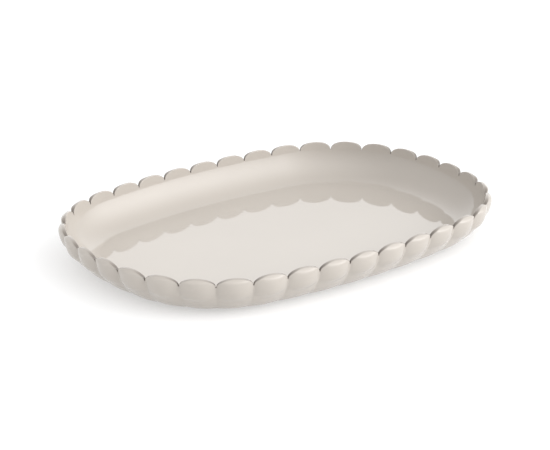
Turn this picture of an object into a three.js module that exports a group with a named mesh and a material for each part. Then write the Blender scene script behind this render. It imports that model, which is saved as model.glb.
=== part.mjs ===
// Oval china serving platter with a scalloped rim, standing on a narrow foot ring.
// Units are millimetres, +Z is up, +X is the long way, and Z = 0 is the table it stands on.
//
// The body has nearly one thickness all over: a flat well, a curved wall, and a rim of rounded
// petals with a notch between each pair. Each petal swells outward like a pillow, and a weak
// flute runs from it towards the base. The wall slopes further in at the two ends than along the
// sides.
import * as THREE from 'three';

// Plan outline of the inside, at the foot of the notches.
const HALF_LENGTH = 218.8;
const HALF_WIDTH = 155.4;
const SIDE_RADIUS = 675;
const END_RADIUS = 249;
const CORNER_RADIUS = 118;

// Petals of the rim, the pillow on the outside of each one, and the flutes that run on below.
const PETALS = 36;
const PETAL_RISE = 8;
const PETAL_FULLNESS = 2.05;
const PILLOW_SWELL = 5.2;
const PILLOW_FOOT = 17;
const PILLOW_ARC = 4.5;
const PILLOW_FLATNESS = 4;
const FLUTE_SWELL = 2;
const FLUTE_FADE = 5;

// Section through the wall: how far the well's edge lies in from the notches, the radius of the
// cove beside the well, and the lean of the rim in radians.
const WELL_DEPTH = 30.3;
const SIDE_INSET = 28.5;
const END_INSET = 35;
const COVE_RADIUS = 8;
const RIM_LEAN = 0.157;
const WALL = 2.4;
const FLOOR = 3.6;

// Foot ring.
const FOOT_HEIGHT = 1.2;
const FOOT_WIDTH = 6;
const FOOT_CHAMFER = 0.8;
const FOOT_INSIDE_WELL = 0.5;

// Facets.
const COLUMNS_PER_PETAL = 6;
const COLUMN_CROWDING = 0.6;
const FOOT_COLUMNS = 108;
const OUTER_DEPTHS = [0, 3, 7, 11, 15, 19, 23, 26.5, 29, 30.1, WELL_DEPTH];
const INNER_DEPTHS = [0, 5, 12, 18, 23, 26.5, 29, WELL_DEPTH];

const WELL_LEVEL = FOOT_HEIGHT + FLOOR;
const NOTCH_LEVEL = WELL_LEVEL + WELL_DEPTH;

// The three arcs of a quarter of the outline, from the +X end round to the +Y side. The corner
// arc lies inside the end's circle and the side's circle and touches both.
function outlineArcs() {
  const end = new THREE.Vector2(HALF_LENGTH - END_RADIUS, 0);
  const side = new THREE.Vector2(0, HALF_WIDTH - SIDE_RADIUS);
  const toEnd = END_RADIUS - CORNER_RADIUS;
  const toSide = SIDE_RADIUS - CORNER_RADIUS;
  const span = end.distanceTo(side);
  const along = (toSide ** 2 - toEnd ** 2 + span ** 2) / (2 * span);
  const across = Math.sqrt(toSide ** 2 - along ** 2);
  const direction = end.clone().sub(side).normalize();
  const square = new THREE.Vector2(direction.y, -direction.x);
  const corner = side.clone().addScaledVector(direction, along).addScaledVector(square, across);
  const endAngle = corner.clone().sub(end).angle();
  const sideAngle = corner.clone().sub(side).angle();
  return [
    { centre: end, radius: END_RADIUS, from: 0, to: endAngle },
    { centre: corner, radius: CORNER_RADIUS, from: endAngle, to: sideAngle },
    { centre: side, radius: SIDE_RADIUS, from: sideAngle, to: Math.PI / 2 },
  ];
}

const ARCS = outlineArcs();
const arcLength = (arc) => arc.radius * (arc.to - arc.from);
const QUARTER = ARCS.reduce((sum, arc) => sum + arcLength(arc), 0);

// Point and outward normal at a distance along the quarter outline.
function quarterAt(distance) {
  let left = distance;
  let index = 0;
  while (index < ARCS.length - 1 && left > arcLength(ARCS[index])) {
    left -= arcLength(ARCS[index]);
    index += 1;
  }
  const arc = ARCS[index];
  const angle = arc.from + left / arc.radius;
  const normal = new THREE.Vector2(Math.cos(angle), Math.sin(angle));
  return { point: arc.centre.clone().addScaledVector(normal, arc.radius), normal };
}

// Point and outward normal at a fraction of the way round, anticlockwise from the +X end.
function outlineAt(fraction) {
  const quarters = 4 * (fraction % 1);
  const quadrant = Math.floor(quarters);
  const local = quarters - quadrant;
  const mirrored = quadrant % 2 === 1;
  const { point, normal } = quarterAt(QUARTER * (mirrored ? 1 - local : local));
  const signs = new THREE.Vector2(quadrant === 1 || quadrant === 2 ? -1 : 1, quadrant < 2 ? 1 : -1);
  return { point: point.multiply(signs), normal: normal.multiply(signs) };
}

// Position across one petal, from -1 at one notch to 1 at the next. Columns crowd towards the
// notches, where a petal's edge is steepest.
function acrossPetal(column) {
  const phase = (column % COLUMNS_PER_PETAL) / COLUMNS_PER_PETAL;
  return THREE.MathUtils.lerp(2 * phase - 1, -Math.cos(Math.PI * phase), COLUMN_CROWDING);
}

function columnFraction(column) {
  const petal = Math.floor(column / COLUMNS_PER_PETAL);
  return (petal + (acrossPetal(column) + 1) / 2) / PETALS;
}

// Height of a petal's edge above the notches: a full arch, steep at both ends.
function petalRise(across) {
  return PETAL_RISE * (1 - Math.abs(across) ** PETAL_FULLNESS) ** (1 / PETAL_FULLNESS);
}

// How far the outside stands out at a height over the notches' foot: a pillow with a curved foot
// on each petal, and a weak flute that dies away at the petal's top and at the base.
function swellAt(height, across) {
  const { smoothstep } = THREE.MathUtils;
  const roundOff = 1 - across ** 2;
  const halfPillow = (PETAL_RISE + PILLOW_FOOT - PILLOW_ARC * across ** 2) / 2;
  const upward = (height - PETAL_RISE + halfPillow) / halfPillow;
  const pillow = (PILLOW_SWELL - FLUTE_SWELL) * Math.max(0, 1 - upward ** PILLOW_FLATNESS);
  const base = -WELL_DEPTH - FLOOR;
  const atBase = smoothstep(height, base, base + FLUTE_FADE);
  const atTop = smoothstep(-height, -PETAL_RISE, -PETAL_RISE / 2);
  return roundOff * (pillow + FLUTE_SWELL * atBase * atTop);
}

// Section of the inside of the wall at a depth below the notches: its inset from the outline and
// its tilt. It leans evenly above the notches, and below them it is one arc that ends in a
// tighter cove, which meets the well.
function innerWall(depth, endShare) {
  if (depth <= 0) return { inset: depth * Math.tan(RIM_LEAN), tilt: RIM_LEAN };
  const inset = THREE.MathUtils.lerp(SIDE_INSET, END_INSET, endShare);
  const leanOut = Math.cos(RIM_LEAN);
  const leanUp = Math.sin(RIM_LEAN);
  const toCove = inset - COVE_RADIUS * leanOut;
  const chord = Math.atan2(toCove, WELL_DEPTH - COVE_RADIUS * (1 - leanUp));
  const coveTilt = 2 * chord - RIM_LEAN;
  const radius = (inset - COVE_RADIUS * Math.cos(coveTilt)) / (leanOut - Math.cos(coveTilt));
  if (depth < radius * (Math.sin(coveTilt) - leanUp)) {
    const tilt = Math.asin(leanUp + depth / radius);
    return { inset: radius * (leanOut - Math.cos(tilt)), tilt };
  }
  const tilt = Math.asin(1 - Math.max(0, WELL_DEPTH - depth) / COVE_RADIUS);
  return { inset: inset - COVE_RADIUS * Math.cos(tilt), tilt };
}

// Depth of a ring that is a drop below the rim's edge. Its share of each petal's rise falls from
// all of it at the edge to none at the pillow's foot.
function ringDepth(drop, across) {
  return drop - Math.max(0, 1 - drop / PILLOW_FOOT) * petalRise(across);
}

// A ring of the inside.
function innerRing(drop) {
  return (across, endShare) => {
    const depth = ringDepth(drop, across);
    return { out: -innerWall(depth, endShare).inset, level: NOTCH_LEVEL - depth };
  };
}

// A ring of the outside: the inside's ring moved square to the wall by its thickness, which
// grows to the floor's, and swollen by the petal.
function outerRing(drop) {
  return (across, endShare) => {
    const depth = ringDepth(drop, across);
    const { inset, tilt } = innerWall(depth, endShare);
    const thickness = THREE.MathUtils.lerp(WALL, FLOOR, (drop / WELL_DEPTH) ** 3);
    const height = -depth - thickness * Math.sin(tilt);
    const out = thickness * Math.cos(tilt) + swellAt(height, across) - inset;
    return { out, level: NOTCH_LEVEL + height };
  };
}

const pole = (level) => () => ({ out: -Infinity, level });

// A closed body of stacked rings, made by giving each vertex of a lathe its real place. A ring
// stands a distance out from the outline along its normal, or lies on the axis.
function ringedGeometry(rings, columns, acrossAt, fractionAt) {
  const lathe = new THREE.LatheGeometry(rings.map((_, index) => new THREE.Vector2(1, index)), columns);
  const position = lathe.getAttribute('position');
  for (let column = 0; column <= columns; column += 1) {
    const turn = column % columns;
    const { point, normal } = outlineAt(fractionAt(turn));
    rings.forEach((ring, index) => {
      const { out, level } = ring(acrossAt(turn), normal.x ** 2);
      const onAxis = out === -Infinity;
      const place = onAxis ? new THREE.Vector2() : point.clone().addScaledVector(normal, out);
      position.setXYZ(column * rings.length + index, place.x, place.y, level);
    });
  }
  lathe.computeVertexNormals();
  return lathe;
}

// Well, wall and petals in one piece, from the middle of the underside, up the outside, over
// the rim and down the inside to the middle of the well.
function platterBody() {
  const rings = [
    pole(FOOT_HEIGHT),
    ...OUTER_DEPTHS.map(outerRing).reverse(),
    ...INNER_DEPTHS.map(innerRing),
    pole(WELL_LEVEL),
  ];
  return ringedGeometry(rings, PETALS * COLUMNS_PER_PETAL, acrossPetal, columnFraction);
}

// The unglazed ring that the platter stands on, flat on top where it meets the underside.
function footRing() {
  const ring = (inward, level) => (across, endShare) => {
    const wellInset = THREE.MathUtils.lerp(SIDE_INSET, END_INSET, endShare);
    return { out: -wellInset - FOOT_INSIDE_WELL - inward, level };
  };
  const rings = [
    ring(FOOT_WIDTH, FOOT_HEIGHT),
    ring(FOOT_WIDTH, FOOT_CHAMFER),
    ring(FOOT_WIDTH - FOOT_CHAMFER, 0),
    ring(FOOT_CHAMFER, 0),
    ring(0, FOOT_CHAMFER),
    ring(0, FOOT_HEIGHT),
    ring(FOOT_WIDTH, FOOT_HEIGHT),
  ];
  return ringedGeometry(rings, FOOT_COLUMNS, () => 0, (column) => column / FOOT_COLUMNS);
}

function part(name, geometry, color, roughness) {
  const material = new THREE.MeshStandardMaterial({ color, roughness, metalness: 0 });
  const mesh = new THREE.Mesh(geometry, material);
  mesh.name = name;
  return mesh;
}

const platter = new THREE.Group();
platter.add(part('platter_body', platterBody(), 0xe3ded6, 0.12));
platter.add(part('foot_ring', footRing(), 0xd8d2c8, 0.85));

export default platter;
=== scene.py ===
import math

import bpy
from mathutils import Matrix, Vector


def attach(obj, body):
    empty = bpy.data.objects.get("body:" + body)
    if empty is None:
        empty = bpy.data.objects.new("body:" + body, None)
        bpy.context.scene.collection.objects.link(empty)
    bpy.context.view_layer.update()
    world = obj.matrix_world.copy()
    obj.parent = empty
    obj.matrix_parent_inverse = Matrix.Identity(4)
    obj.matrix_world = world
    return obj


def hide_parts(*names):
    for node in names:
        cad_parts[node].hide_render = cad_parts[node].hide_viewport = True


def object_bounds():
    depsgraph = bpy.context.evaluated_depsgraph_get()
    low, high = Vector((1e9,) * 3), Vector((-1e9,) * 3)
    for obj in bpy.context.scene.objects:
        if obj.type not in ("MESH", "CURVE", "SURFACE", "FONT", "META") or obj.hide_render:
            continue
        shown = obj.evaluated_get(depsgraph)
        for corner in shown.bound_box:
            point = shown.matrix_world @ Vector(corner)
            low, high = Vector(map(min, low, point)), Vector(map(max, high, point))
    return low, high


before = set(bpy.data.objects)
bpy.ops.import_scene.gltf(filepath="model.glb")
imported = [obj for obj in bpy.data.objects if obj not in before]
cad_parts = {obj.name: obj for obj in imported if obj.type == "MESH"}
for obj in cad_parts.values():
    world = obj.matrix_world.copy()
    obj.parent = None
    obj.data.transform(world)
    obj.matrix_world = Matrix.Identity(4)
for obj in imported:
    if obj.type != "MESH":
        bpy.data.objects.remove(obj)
cad_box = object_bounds()

# Metres in a millimetre. Sizes are in millimetres, except where a comment says metres.
MM = 0.001

# Shape, with the same driving sizes as the CAD parts have.
HALF_LENGTH = 218.8
HALF_WIDTH = 155.4
SIDE_RADIUS = 675
END_RADIUS = 249
CORNER_RADIUS = 118
PETALS = 36
PETAL_RISE = 8
PETAL_FULLNESS = 2.05
PILLOW_SWELL = 5.2
PILLOW_FOOT = 17
PILLOW_ARC = 4.5
PILLOW_FLATNESS = 4
FLUTE_SWELL = 2
FLUTE_FADE = 5
WELL_DEPTH = 30.3
SIDE_INSET = 28.5
END_INSET = 35
COVE_RADIUS = 8
RIM_LEAN = 0.157
WALL = 2.4
FLOOR = 3.6
FOOT_HEIGHT = 1.2
FOOT_WIDTH = 6
FOOT_INSIDE_WELL = 0.5

# Roundings that only the fine model has.
LIP_RADIUS = 0.5
NOTCH_RADIUS = 0.3
FOOT_ROUNDING = 0.9

# Mesh density. Below a depth the mesh's columns run straight down, and above it their rings
# crowd towards the edge.
STRAIGHT_BELOW = 12
RING_CROWDING = 1.5
ARCH_STEPS = 14
NOTCH_STEPS = 3
LIP_STEPS = 4
PETAL_RINGS = 16
BEND_RINGS = 17
FOOT_COLUMNS = 432

# Glaze. Over the lip a dark colour is mixed into it as painted shade. At the top of a petal this
# share of that painted shade is left off, and beside the notches none of it is.
GLAZE_COLOUR = (0.447, 0.411, 0.372)
LIP_SHADE_COLOUR = (0.12, 0.10, 0.085)
LIP_SHADE_TOP_CUT = 0.75
GLAZE_DRIFT = 0.015
GLAZE_DRIFT_SCALE = 9
GLAZE_DRIFT_DETAIL = 2
GLAZE_ROUGHNESS = 0.03
GLAZE_IOR = 1.5

# Bare clay of the foot ring. The height of its grain is in metres.
BISQUE_COLOUR = (0.74, 0.70, 0.63)
BISQUE_DARKEST = 0.9
BISQUE_LIGHTEST = 1.05
BISQUE_ROUGHNESS = 0.85
GRAIN_SCALE = 1400
GRAIN_DETAIL = 3
GRAIN_HEIGHT = 0.0001

# The part of a noise's range over which one colour changes to the other.
NOISE_LOW = 0.3
NOISE_HIGH = 0.7

# The shooting table is white and faintly lit from below. Its reach is in metres.
TABLE_REACH = 4
TABLE_COLOUR = (0.55, 0.55, 0.55)
TABLE_ROUGHNESS = 0.9
TABLE_GLOW = 0.42
WHITE = (1, 1, 1, 1)

# Broad soft lights round the studio: the bearing each one comes from, anticlockwise from +X, and
# its height over the horizon (both in degrees), how tightly it is gathered, and its strength.
RIGHT_WINDOW = (310, 19, 5, 4.3)
LEFT_WINDOW = (150, 15, 3, 1.2)
BACK_WALL = (56, 14, 3, 1.6)
TOP_PANEL = (246, 52, 3, 1.4)
ROOM_STRENGTH = 0.12

# Camera: where it stands round the platter, and how it is panned and rolled. Its distance, its
# pans and its clip are in metres, and its roll is in radians.
AZIMUTH = math.radians(-37.21)
ELEVATION = math.radians(20.53)
DISTANCE = 2.0105
PAN_RIGHT = -0.0039
PAN_UP = -0.0141
ROLL = -0.0125
LENS = 128.9
SENSOR_WIDTH = 36
NEAR_CLIP = 0.05

NOTCH_LEVEL = FOOT_HEIGHT + FLOOR + WELL_DEPTH
ROUNDING_SLACK = 1e-9


def lerp(a, b, share):
    return a + (b - a) * share


def smoothstep(x, low, high):
    t = min(1, max(0, (x - low) / (high - low)))
    return t * t * (3 - 2 * t)


def direction(angle):
    return Vector((math.cos(angle), math.sin(angle)))


# Plan outline: three arcs in each quarter, the corner's arc touching the end's and the side's.
def outline_arcs():
    end = Vector((HALF_LENGTH - END_RADIUS, 0))
    side = Vector((0, HALF_WIDTH - SIDE_RADIUS))
    to_end = END_RADIUS - CORNER_RADIUS
    to_side = SIDE_RADIUS - CORNER_RADIUS
    span = (end - side).length
    along = (to_side ** 2 - to_end ** 2 + span ** 2) / (2 * span)
    across = math.sqrt(to_side ** 2 - along ** 2)
    toward = (end - side).normalized()
    corner = side + toward * along + Vector((toward.y, -toward.x)) * across
    end_angle = math.atan2(*reversed(corner - end))
    side_angle = math.atan2(*reversed(corner - side))
    return [
        (end, END_RADIUS, 0, end_angle),
        (corner, CORNER_RADIUS, end_angle, side_angle),
        (side, SIDE_RADIUS, side_angle, math.pi / 2),
    ]


ARCS = outline_arcs()
QUARTER = sum(radius * (to - start) for _, radius, start, to in ARCS)
HALF_PETAL = 2 * QUARTER / PETALS


# Point and outward normal at a distance along the quarter outline.
def quarter_at(distance):
    for centre, radius, start, to in ARCS:
        if distance <= radius * (to - start) + ROUNDING_SLACK:
            break
        distance -= radius * (to - start)
    normal = direction(start + distance / radius)
    return centre + normal * radius, normal


# Point and outward normal at a distance round the outline, anticlockwise from the +X end.
def outline_at(distance):
    quadrant, local = divmod(distance % (4 * QUARTER), QUARTER)
    if quadrant % 2:
        local = QUARTER - local
    point, normal = quarter_at(local)
    sign = Vector((-1 if quadrant in (1, 2) else 1, 1 if quadrant < 2 else -1))
    return point * sign, normal * sign


# How far the outside stands out at a height over the notches' foot and a position across the
# petal: a pillow with a curved foot on each petal, and a weak flute that dies away at the petal's
# top and at the base.
def swell_at(height, across):
    round_off = 1 - across ** 2
    half_pillow = (PETAL_RISE + PILLOW_FOOT - PILLOW_ARC * across ** 2) / 2
    upward = (height - PETAL_RISE + half_pillow) / half_pillow
    pillow = (PILLOW_SWELL - FLUTE_SWELL) * max(0, 1 - upward ** PILLOW_FLATNESS)
    base = -WELL_DEPTH - FLOOR
    fade = smoothstep(height, base, base + FLUTE_FADE)
    fade *= smoothstep(-height, -PETAL_RISE, -PETAL_RISE / 2)
    return round_off * (pillow + FLUTE_SWELL * fade)


# Section of the inside of the wall at a depth below the notches: its inset from the outline and
# its tilt. It leans evenly above the notches, and below them it is one arc that ends in a
# tighter cove, which meets the well.
def inner_wall(depth, end_share):
    if depth <= 0:
        return depth * math.tan(RIM_LEAN), RIM_LEAN
    inset = lerp(SIDE_INSET, END_INSET, end_share)
    lean_out, lean_up = math.cos(RIM_LEAN), math.sin(RIM_LEAN)
    chord = math.atan2(inset - COVE_RADIUS * lean_out, WELL_DEPTH - COVE_RADIUS * (1 - lean_up))
    cove_tilt = 2 * chord - RIM_LEAN
    radius = (inset - COVE_RADIUS * math.cos(cove_tilt)) / (lean_out - math.cos(cove_tilt))
    if depth < radius * (math.sin(cove_tilt) - lean_up):
        tilt = math.asin(lean_up + depth / radius)
        return radius * (lean_out - math.cos(tilt)), tilt
    tilt = math.asin(1 - max(0, WELL_DEPTH - depth) / COVE_RADIUS)
    return inset - COVE_RADIUS * math.cos(tilt), tilt


# A point of the wall: a distance round the outline, a height over the notches' foot, and a share
# of the way from the inside to the outside.
def wall_point(distance, height, through):
    point, normal = outline_at(distance)
    inset, tilt = inner_wall(-height, normal.x ** 2)
    depth_share = min(1, max(0, -height / WELL_DEPTH))
    thickness = lerp(WALL, FLOOR, depth_share ** 3) * through
    level = height - thickness * math.sin(tilt)
    across = distance / HALF_PETAL % 2 - 1
    out = thickness * math.cos(tilt) + swell_at(level, across) * through - inset
    place = point + normal * out
    return Vector((place.x, place.y, NOTCH_LEVEL + level)) * MM


# Half of a petal's edge, from the bottom of the notch to the top of the arch: where each column
# starts, measured from the notch and up, and the direction square to the edge into the petal.
def half_edge():
    columns = []
    for step in range(NOTCH_STEPS):
        turn = math.pi / 2 * step / NOTCH_STEPS
        into = Vector((math.sin(turn), -math.cos(turn)))
        columns.append((into * NOTCH_RADIUS, into))
    wide = HALF_PETAL - NOTCH_RADIUS
    power = 2 / PETAL_FULLNESS
    for step in range(ARCH_STEPS + 1):
        turn = math.pi / 2 * step / ARCH_STEPS
        side = abs(math.cos(turn)) ** power
        up = math.sin(turn) ** power
        start = Vector((HALF_PETAL - wide * side, PETAL_RISE * up))
        slant = side ** (PETAL_FULLNESS - 1) / wide
        rise = up ** (PETAL_FULLNESS - 1) / PETAL_RISE
        columns.append((start, Vector((slant, -rise)).normalized()))
    return columns


# Every column round the rim: its start, its direction, and the distance round the outline at
# which it runs straight down.
def rim_columns():
    half = half_edge()
    steps = len(half) - 1
    columns = []
    for petal in range(PETALS):
        notch = petal * 2 * HALF_PETAL
        for index in range(2 * steps):
            mirrored = index > steps
            start, into = half[2 * steps - index if mirrored else index]
            if mirrored:
                start = Vector((2 * HALF_PETAL - start.x, start.y))
                into = Vector((-into.x, into.y))
            below = notch + HALF_PETAL * index / steps
            columns.append((start + Vector((notch, 0)), into, below))
    return columns


# A column leaves the edge square to it and turns until it runs straight down.
def column_at(column, share):
    start, into, below = column
    foot = Vector((below, -STRAIGHT_BELOW))
    reach = (start.y + STRAIGHT_BELOW) / 3
    first = start + into * LIP_RADIUS
    second = first + into * reach
    third = foot + Vector((0, reach))
    left = 1 - share
    return (first * left ** 3 + second * 3 * left ** 2 * share
            + third * 3 * left * share ** 2 + foot * share ** 3)


# Rings of the body as functions of a column, from the well's edge up the inside, over the lip
# and down the outside.
def body_rings():
    last_turn = math.asin(STRAIGHT_BELOW / WELL_DEPTH)
    depths = []
    for step in range(BEND_RINGS + 1):
        turn = lerp(math.pi / 2, last_turn, step / BEND_RINGS)
        depths.append(WELL_DEPTH * math.sin(turn))
    steps = range(1, PETAL_RINGS + 1)
    shares = [(1 - step / PETAL_RINGS) ** RING_CROWDING for step in steps]

    def below(depth, through):
        return lambda column: wall_point(column[2], -depth, through)

    def beside(share, through):
        return lambda column: wall_point(*column_at(column, share), through)

    def lip(turn, through):
        inset = LIP_RADIUS * (1 - math.sin(turn))
        share = LIP_RADIUS / WALL * (1 - math.cos(turn))
        at = abs(through - share)
        return lambda column: wall_point(*(column[0] + column[1] * inset), at)

    turns = [math.pi / 2 * step / LIP_STEPS for step in range(1, LIP_STEPS + 1)]
    rings = [below(depth, 0) for depth in depths]
    rings += [beside(share, 0) for share in shares]
    rings += [lip(turn, 0) for turn in turns]
    rings += [lip(turn, 1) for turn in reversed(turns)]
    rings += [beside(share, 1) for share in reversed(shares)]
    rings += [below(depth, 1) for depth in reversed(depths)]
    return rings


def add_mesh(name, vertices, faces, material):
    mesh = bpy.data.meshes.new(name)
    mesh.from_pydata(vertices, [], faces)
    mesh.validate()
    mesh.shade_smooth()
    mesh.materials.append(material)
    piece = bpy.data.objects.new(name, mesh)
    bpy.context.scene.collection.objects.link(piece)
    return piece


# Quads between rings, each ring having the same number of vertices.
def ring_faces(rings, columns, closed=False):
    faces = []
    for ring in range(rings if closed else rings - 1):
        here = ring * columns
        there = (ring + 1) % rings * columns
        for column in range(columns):
            beyond = (column + 1) % columns
            faces.append((here + column, there + column, there + beyond, here + beyond))
    return faces


# Well, wall and petals in one piece, closed by a flat face over the well and another under it.
# Its "edge" attribute says how much painted shade darkens the lip: most beside the notches, less
# at the top of each petal.
def platter_body(material):
    columns = rim_columns()
    rings = body_rings()
    vertices = [ring(column) for ring in rings for column in columns]
    count = len(columns)
    faces = ring_faces(len(rings), count)
    faces.append(tuple(range(count)))
    last = (len(rings) - 1) * count
    faces.append(tuple(last + column for column in reversed(range(count))))
    piece = add_mesh("platter", vertices, faces, material)
    edge = piece.data.attributes.new("edge", "FLOAT", "POINT")
    first_lip = BEND_RINGS + 1 + PETAL_RINGS
    for step in range(2 * LIP_STEPS):
        share = min(step + 1, 2 * LIP_STEPS - step) / LIP_STEPS
        for index, (start, _, _) in enumerate(columns):
            flank = 1 - LIP_SHADE_TOP_CUT * (start.y / PETAL_RISE) ** 2
            edge.data[(first_lip + step) * count + index].value = share * flank
    return piece


# The bare ring under the well: flat on top against the body, and rounded at its two lower edges.
def foot_ring(material):
    profile = [(FOOT_WIDTH, FOOT_HEIGHT), (0, FOOT_HEIGHT)]
    for centre, start in ((FOOT_ROUNDING, math.pi), (FOOT_WIDTH - FOOT_ROUNDING, 1.5 * math.pi)):
        for step in range(LIP_STEPS + 1):
            turn = start + math.pi / 2 * step / LIP_STEPS
            across = centre + FOOT_ROUNDING * math.cos(turn)
            profile.append((across, FOOT_ROUNDING * (1 + math.sin(turn))))
    vertices = []
    for across, height in profile:
        for column in range(FOOT_COLUMNS):
            point, normal = outline_at(4 * QUARTER * column / FOOT_COLUMNS)
            well = lerp(SIDE_INSET, END_INSET, normal.x ** 2)
            place = point - normal * (well + FOOT_INSIDE_WELL + across)
            vertices.append(Vector((place.x, place.y, height)) * MM)
    faces = ring_faces(len(profile), FOOT_COLUMNS, closed=True)
    return add_mesh("foot", vertices, faces, material)


# Materials.
def new_material(name):
    material = bpy.data.materials.new(name)
    material.use_nodes = True
    nodes = material.node_tree.nodes
    shader = next(node for node in nodes if node.type == "BSDF_PRINCIPLED")
    return material, shader


def noise(tree, coordinates, scale, detail):
    texture = tree.nodes.new("ShaderNodeTexNoise")
    texture.inputs["Scale"].default_value = scale
    texture.inputs["Detail"].default_value = detail
    tree.links.new(coordinates, texture.inputs["Vector"])
    return texture.outputs["Fac"]


def between(tree, factor, low, high):
    ramp = tree.nodes.new("ShaderNodeValToRGB")
    ramp.color_ramp.elements[0].color = (*low, 1)
    ramp.color_ramp.elements[1].color = (*high, 1)
    ramp.color_ramp.elements[0].position = NOISE_LOW
    ramp.color_ramp.elements[1].position = NOISE_HIGH
    tree.links.new(factor, ramp.inputs["Fac"])
    return ramp.outputs["Color"]


def bump(tree, height, distance):
    node = tree.nodes.new("ShaderNodeBump")
    node.inputs["Distance"].default_value = distance
    node.inputs["Strength"].default_value = 1
    tree.links.new(height, node.inputs["Height"])
    return node.outputs["Normal"]


def glaze():
    material, shader = new_material("glaze")
    tree = material.node_tree
    place = tree.nodes.new("ShaderNodeTexCoord").outputs["Object"]
    drift = noise(tree, place, GLAZE_DRIFT_SCALE, GLAZE_DRIFT_DETAIL)
    low = [part * (1 - GLAZE_DRIFT) for part in GLAZE_COLOUR]
    high = [part * (1 + GLAZE_DRIFT) for part in GLAZE_COLOUR]
    # Painted shade: the "edge" attribute mixes a dark colour into the glaze over the lip.
    lip_shade_mask = tree.nodes.new("ShaderNodeAttribute")
    lip_shade_mask.attribute_name = "edge"
    shaded_glaze = tree.nodes.new("ShaderNodeMixRGB")
    shaded_glaze.inputs["Color2"].default_value = (*LIP_SHADE_COLOUR, 1)
    tree.links.new(lip_shade_mask.outputs["Fac"], shaded_glaze.inputs["Fac"])
    tree.links.new(between(tree, drift, low, high), shaded_glaze.inputs["Color1"])
    tree.links.new(shaded_glaze.outputs["Color"], shader.inputs["Base Color"])
    shader.inputs["Roughness"].default_value = GLAZE_ROUGHNESS
    shader.inputs["IOR"].default_value = GLAZE_IOR
    return material


def bisque():
    material, shader = new_material("bisque")
    tree = material.node_tree
    place = tree.nodes.new("ShaderNodeTexCoord").outputs["Object"]
    grain = noise(tree, place, GRAIN_SCALE, GRAIN_DETAIL)
    low = [part * BISQUE_DARKEST for part in BISQUE_COLOUR]
    high = [part * BISQUE_LIGHTEST for part in BISQUE_COLOUR]
    tree.links.new(between(tree, grain, low, high), shader.inputs["Base Color"])
    tree.links.new(bump(tree, grain, GRAIN_HEIGHT), shader.inputs["Normal"])
    shader.inputs["Roughness"].default_value = BISQUE_ROUGHNESS
    return material


def table_white():
    material, shader = new_material("floor_white")
    shader.inputs["Base Color"].default_value = (*TABLE_COLOUR, 1)
    shader.inputs["Roughness"].default_value = TABLE_ROUGHNESS
    shader.inputs["Specular IOR Level"].default_value = 0
    shader.inputs["Emission Color"].default_value = WHITE
    shader.inputs["Emission Strength"].default_value = TABLE_GLOW
    return material


def studio_floor():
    level = cad_box[0].z
    signs = [(-1, -1), (1, -1), (1, 1), (-1, 1)]
    corners = [(x * TABLE_REACH, y * TABLE_REACH, level) for x, y in signs]
    floor = add_mesh("studio_floor", corners, [(0, 1, 2, 3)], table_white())


def math_node(tree, operation, first, second):
    node = tree.nodes.new("ShaderNodeMath")
    node.operation = operation
    tree.links.new(first, node.inputs[0])
    if isinstance(second, (int, float)):
        node.inputs[1].default_value = second
    else:
        tree.links.new(second, node.inputs[1])
    return node.outputs["Value"]


# One of the lights as seen in a direction: brightest where it comes from, and dark behind.
def glow(tree, view, light):
    bearing, height, tightness, strength = light
    flat = direction(math.radians(bearing)) * math.cos(math.radians(height))
    facing = tree.nodes.new("ShaderNodeVectorMath")
    facing.operation = "DOT_PRODUCT"
    facing.inputs[1].default_value = (flat.x, flat.y, math.sin(math.radians(height)))
    tree.links.new(view, facing.inputs[0])
    ahead = math_node(tree, "MAXIMUM", facing.outputs["Value"], 0)
    return math_node(tree, "MULTIPLY", math_node(tree, "POWER", ahead, tightness), strength)


def studio_world():
    world = bpy.data.worlds.new("studio")
    world.use_nodes = True
    tree = world.node_tree
    view = tree.nodes.new("ShaderNodeTexCoord").outputs["Generated"]
    total = glow(tree, view, RIGHT_WINDOW)
    for light in (LEFT_WINDOW, BACK_WALL, TOP_PANEL):
        total = math_node(tree, "ADD", total, glow(tree, view, light))
    total = math_node(tree, "ADD", total, ROOM_STRENGTH)
    background = tree.nodes["Background"]
    background.inputs["Color"].default_value = WHITE
    tree.links.new(total, background.inputs["Strength"])
    bpy.context.scene.world = world


def photo_camera():
    back = Vector((
        math.sin(AZIMUTH) * math.cos(ELEVATION),
        -math.cos(AZIMUTH) * math.cos(ELEVATION),
        math.sin(ELEVATION),
    ))
    right = (-back).cross(Vector((0, 0, 1))).normalized()
    up = right.cross(-back)
    target = Vector((0, 0, NOTCH_LEVEL * MM))
    place = target + back * DISTANCE + right * PAN_RIGHT + up * PAN_UP
    rolled_right = right * math.cos(ROLL) + up * math.sin(ROLL)
    rolled_up = up * math.cos(ROLL) - right * math.sin(ROLL)
    turned = Matrix((rolled_right, rolled_up, back)).transposed().to_4x4()
    data = bpy.data.cameras.new("camera")
    data.lens = LENS
    data.sensor_width = SENSOR_WIDTH
    data.clip_start = NEAR_CLIP
    camera = bpy.data.objects.new("camera", data)
    camera.matrix_world = Matrix.Translation(place) @ turned
    bpy.context.scene.collection.objects.link(camera)
    bpy.context.scene.camera = camera


photo_camera()
studio_floor()
studio_world()
bpy.context.scene.view_settings.view_transform = "Standard"

body = platter_body(glaze())
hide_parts("platter_body")
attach(body, "root")

foot = foot_ring(bisque())
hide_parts("foot_ring")
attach(foot, "root")
